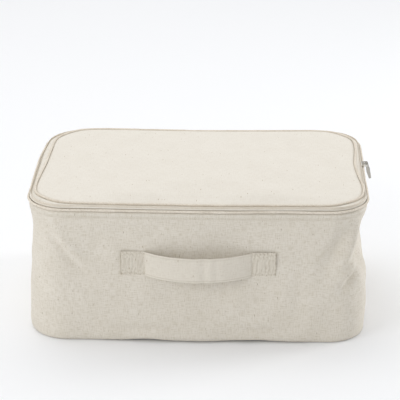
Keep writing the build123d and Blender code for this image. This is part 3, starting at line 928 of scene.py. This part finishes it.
PANEL_EDGE = -LID_INSET - PIPING_RADIUS
PANEL_THICKNESS = 0.0012
CROWN = 0.0026
ROLL, ROLL_LENGTH = 0.0030, 0.0035  # how high the panel rolls up out of its seam, and how soon
CREST, CREST_LONG, CREST_DEEP = 0.0115, 0.28, 0.30  # its height, half length, and how far back it fades
CREST_Y = -0.118
SLOPE_X, SLOPE_LONG, SLOPE_DEEP = 0.010, 0.135, 0.080  # the slope's middle, half length and depth
# how much painted shade lies in the panel's seam crease
SEAM_SHADE = 0.45


def panel_height(x, y, from_edge):
    """The lid panel's upper face: it rolls up out of the seam in the first few millimetres, then crowns
    gently to the middle, with even waves that die out at the seam. At the front a slope climbs as a cone from
    the middle of the seam to an arc, and the crest that it ends in fades away to the back and the sides."""
    roll = ROLL * (1 - np.exp(-from_edge / ROLL_LENGTH))
    crown = CROWN * (1 - (x / HALF_X) ** 2) * (1 - (y / HALF_Y) ** 2)
    waves = (0.0012 * ripple(x, y, 0.21, 21) + 0.0005 * ripple(x, y, 0.09, 22)) * smooth(from_edge / 0.05)
    slope = np.clip(np.hypot((x - SLOPE_X) / SLOPE_LONG, (y + HALF_Y - 0.012) / SLOPE_DEEP), 0, 1)
    fade = hump((x - SLOPE_X) / CREST_LONG) * hump(np.clip((y - CREST_Y) / CREST_DEEP, 0, 1))
    crest = CREST * slope * (fade * smooth(from_edge / 0.03))
    return LID_PIPING_Z - 0.0010 + lid_sink(y) + roll + crown + waves + crest


def lid_panel_points():
    """The panel as copies of the piping's own wandering line, scaled towards the middle and closer together
    near the edge, so that its edge stays in the seam. With it, its place on the flat cloth, and the painted
    shade in the seam's crease, a bell of the distance from the edge."""
    s = np.linspace(0, GIRTH, 460)[:, None]
    share = (1 - np.linspace(0, 1, 100) ** 2)[None, :]
    x, y = outline(s, PANEL_EDGE + lid_wander(s)[0])
    x, y = x * share, y * share
    from_edge = (1 - share) * HALF_Y + 0 * s
    points = np.stack([x, y, panel_height(x, y, from_edge)], -1)
    return settle(points), np.stack([x, y], -1), SEAM_SHADE * np.exp(-(from_edge / 0.0012) ** 2)


lid_panel = surface("lid_panel_cloth", *lid_panel_points())
thicken(lid_panel, PANEL_THICKNESS)
dress(lid_panel, panel_canvas, "lid", "lid_canvas", "lid_panel")

# ---------------------------------------------------------------------------------------------------
# Handle: one folded canvas strap. Its ends are sewn flat on the front wall, each with a box of stitches over
# a backing patch inside; its middle bows out for the hand.
# ---------------------------------------------------------------------------------------------------
ends_low, ends_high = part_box("handle_ends")
STRAP_THICKNESS = 0.0024
STRAP_WIDTH = ends_high.z - ends_low.z
HANDLE_Z = (ends_high.z + ends_low.z) / 2
HANDLE_X = 0.0025  # the strap is sewn on this far right of the middle
PATCH_OUT = ends_high.x - HANDLE_X  # a sewn end's outer edge, from the strap's middle
PATCH_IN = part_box("handle_backing_right")[0].x + 0.002  # and its inner one
STRAP_NEAR = WALL_OUT + STRAP_THICKNESS / 2
STRAP_REACH = 0.0250
BOW_SAG = 0.0016  # the bow's middle hangs this far below its ends
BOW_FLARE = 0.16  # how far its lower edge stands out for each metre down
STITCH_INSET = 0.0034
ARCH = 0.85  # 1 would bow the strap as a parabola, less makes its shoulders fuller
# the canvas folded in four and pressed, its slubs pressed flat; its colour a shade deeper than the walls' is
# painted shade, against the light that the bow's flared lower edge catches
strap_canvas = woven("folded_canvas_strap", "dfd9cd", "d2cabc", "b3a48e", slub=0.7, patches=0.1)


def bow_share(x):
    """0 on the sewn ends and 1 at the middle of the bow, along one smooth arch."""
    return np.clip(1 - (x / PATCH_IN) ** 2, 0, 1) ** ARCH


def strap_points(x, columns=44):
    """The strap's closed section, a squared oval, carried along x: it stands off the wall by the arch's share
    of its reach, its lower edge further than its upper one, it hangs a little there, and soft creases run up
    and down it to the right of its middle. The sewn ends follow the wall, puckered by their stitches in fine
    even waves, with painted shade along the hems and at the cut, and they are painted darker in an uneven
    grain."""
    bow = bow_share(x)[:, None]
    turn = np.linspace(-math.pi / 2, 1.5 * math.pi, columns)[None, :]
    thick = STRAP_THICKNESS / 2 * squared(np.cos(turn), 0.45)
    wide = STRAP_WIDTH / 2 * squared(np.sin(turn), 0.55)
    narrow = 1 - 0.05 * bow
    crease = 0.0011 * bow * hump((x[:, None] - 0.02) / 0.06) * ripple(x[:, None], 0.15 * wide, 0.028, 41)
    wall_stand = slack(x[:, None] + HANDLE_X + FRONT_MIDDLE, np.full((len(x), 1), HANDLE_Z)) * (1 - bow)
    pucker = 0.00030 * (1 - smooth(bow / 0.1)) * ripple(x[:, None], wide, 0.0065, 43)
    grain = 0.20 * np.clip(ripple(x[:, None], wide, 0.0045, 44), -1, 1.5)
    out = STRAP_NEAR + pucker + STRAP_REACH * bow + thick - BOW_FLARE * bow * wide + crease + wall_stand
    z = HANDLE_Z - BOW_SAG * bow + wide * narrow
    points = np.stack([x[:, None] + HANDLE_X + 0 * out, -(HALF_Y + out), z], -1)
    # painted shade along each hem's stitch line and at the cut ends; the sewn ends are also painted darker,
    # in an uneven grain
    hem_shade = np.exp(-((STRAP_WIDTH / 2 - STITCH_INSET - np.abs(wide)) / 0.0007) ** 2)
    cut_end_shade = np.exp(-((PATCH_OUT - np.abs(x)) / 0.0012) ** 2)[:, None]
    seam = np.clip(0.30 * hem_shade + 0.5 * cut_end_shade + (0.15 + grain) * (1 - smooth(bow / 0.12)), 0, 1)
    cloth = np.stack([x[:, None] + 0 * z, z + 0 * x[:, None]], -1)
    ends = points[[0, -1]].mean(1, keepdims=True).repeat(columns, 1)
    points = np.concatenate([ends[:1], points, ends[1:]])
    cloth = np.concatenate([cloth[:1], cloth, cloth[-1:]])
    seam = np.concatenate([seam[:1], seam, seam[-1:]])
    return settle(points), cloth, seam


strap = surface("handle_strap", *strap_points(np.linspace(-PATCH_OUT, PATCH_OUT, 380)))
strap.data.materials.append(strap_canvas)
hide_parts("handle_bow", "handle_ends")
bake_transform(strap)


def patch_box(sign):
    """Places and directions of the stitches round one sewn end, just inside its edges."""
    inner, outer = PATCH_IN + 0.001, PATCH_OUT - STITCH_INSET
    tall = STRAP_WIDTH / 2 - STITCH_INSET
    corners = np.array([(inner, -tall), (outer, -tall), (outer, tall), (inner, tall), (inner, -tall)])
    places, along = [], []
    for first, last in zip(corners[:-1], corners[1:]):
        length = np.linalg.norm(last - first)
        count = int(length / (STITCH_LENGTH + STITCH_GAP))
        share = (np.arange(count) + 0.5)[:, None] / count
        places.append(first + (last - first) * share)
        along.append(np.repeat((last - first)[None] / length, count, 0))
    flat, heading = np.concatenate(places), np.concatenate(along)
    flat[:, 0] *= sign
    heading[:, 0] *= sign
    return flat, heading


# on each sewn end a box of stitches, and inside the wall a backing patch: a squared oval filled to its middle
for side, sign in (("left", -1), ("right", 1)):
    flat, heading = patch_box(sign)
    x, z = flat[:, 0] + HANDLE_X, HANDLE_Z + flat[:, 1]
    stand = slack(x + FRONT_MIDDLE, np.full(len(x), HANDLE_Z))
    y = -(HALF_Y + STRAP_NEAR + STRAP_THICKNESS / 2 + stand - 0.0001)
    along = np.stack([heading[:, 0], 0 * x, heading[:, 1]], -1)
    outwards = np.repeat([[0.0, -1.0, 0.0]], len(x), 0)
    box_stitches = stitches(f"handle_stitches_{side}", settle(np.stack([x, y, z], -1)), along, outwards)
    dress(box_stitches, sewing_thread, "box", "strap")
    node = f"handle_backing_{side}"
    low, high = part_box(node)
    t = np.linspace(0, 2 * math.pi, 49)[:, None]
    share = np.linspace(1, 0, 6)[None, :] ** 0.5
    x = (low.x + high.x) / 2 + (high.x - low.x) / 2 * squared(np.cos(t), 0.3) * share
    z = (low.z + high.z) / 2 + (high.z - low.z) / 2 * squared(np.sin(t), 0.3) * share
    y = high.y - slack(x + FRONT_MIDDLE, z)
    points = settle(np.stack([x, y, z], -1))[::-1]
    backing = thicken(surface(f"{node}_patch", points, np.stack([x, z], -1)[::-1]), high.y - low.y)
    dress(backing, lining_cloth, "box", "lining", node)

# ---------------------------------------------------------------------------------------------------
# Sliders and pulls: die-cast zinc, plated with nickel, the pulls darker. They keep the CAD's solids and get
# their finish here.
# ---------------------------------------------------------------------------------------------------
CAST_GRAIN = 1 / 1500  # metres


def plated(name, colour, rough):
    """Plated zinc: a metal with a faint cast grain under the plating."""
    made, tree, shader = material(name)
    place = add(tree, "TexCoord").outputs["Object"]
    grain = add(tree, "TexNoise", {"Vector": place, "Scale": 1 / CAST_GRAIN})
    bump = add(tree, "Bump", {"Height": grain.outputs["Fac"], "Distance": 0.00004})
    tree.links.new(bump.outputs["Normal"], shader.inputs["Normal"])
    shader.inputs["Base Color"].default_value = linear(colour)
    shader.inputs["Metallic"].default_value = 1.0
    shader.inputs["Roughness"].default_value = rough
    return made


# bright nickel: pale and warm, with soft wide glints
nickel = plated("nickel_plated_zinc", "dedbd4", 0.28)
# tumbled nickel: a shade darker, so the pull stands out from its slider
dark_nickel = plated("dark_nickel_plated_zinc", "b4b0a8", 0.24)
for name in ("front", "rear"):
    for node, finish in ((f"zip_slider_{name}", nickel), (f"pull_tab_{name}", dark_nickel)):
        frame["nodes"][node].data.materials.clear()
        frame["nodes"][node].data.materials.append(finish)
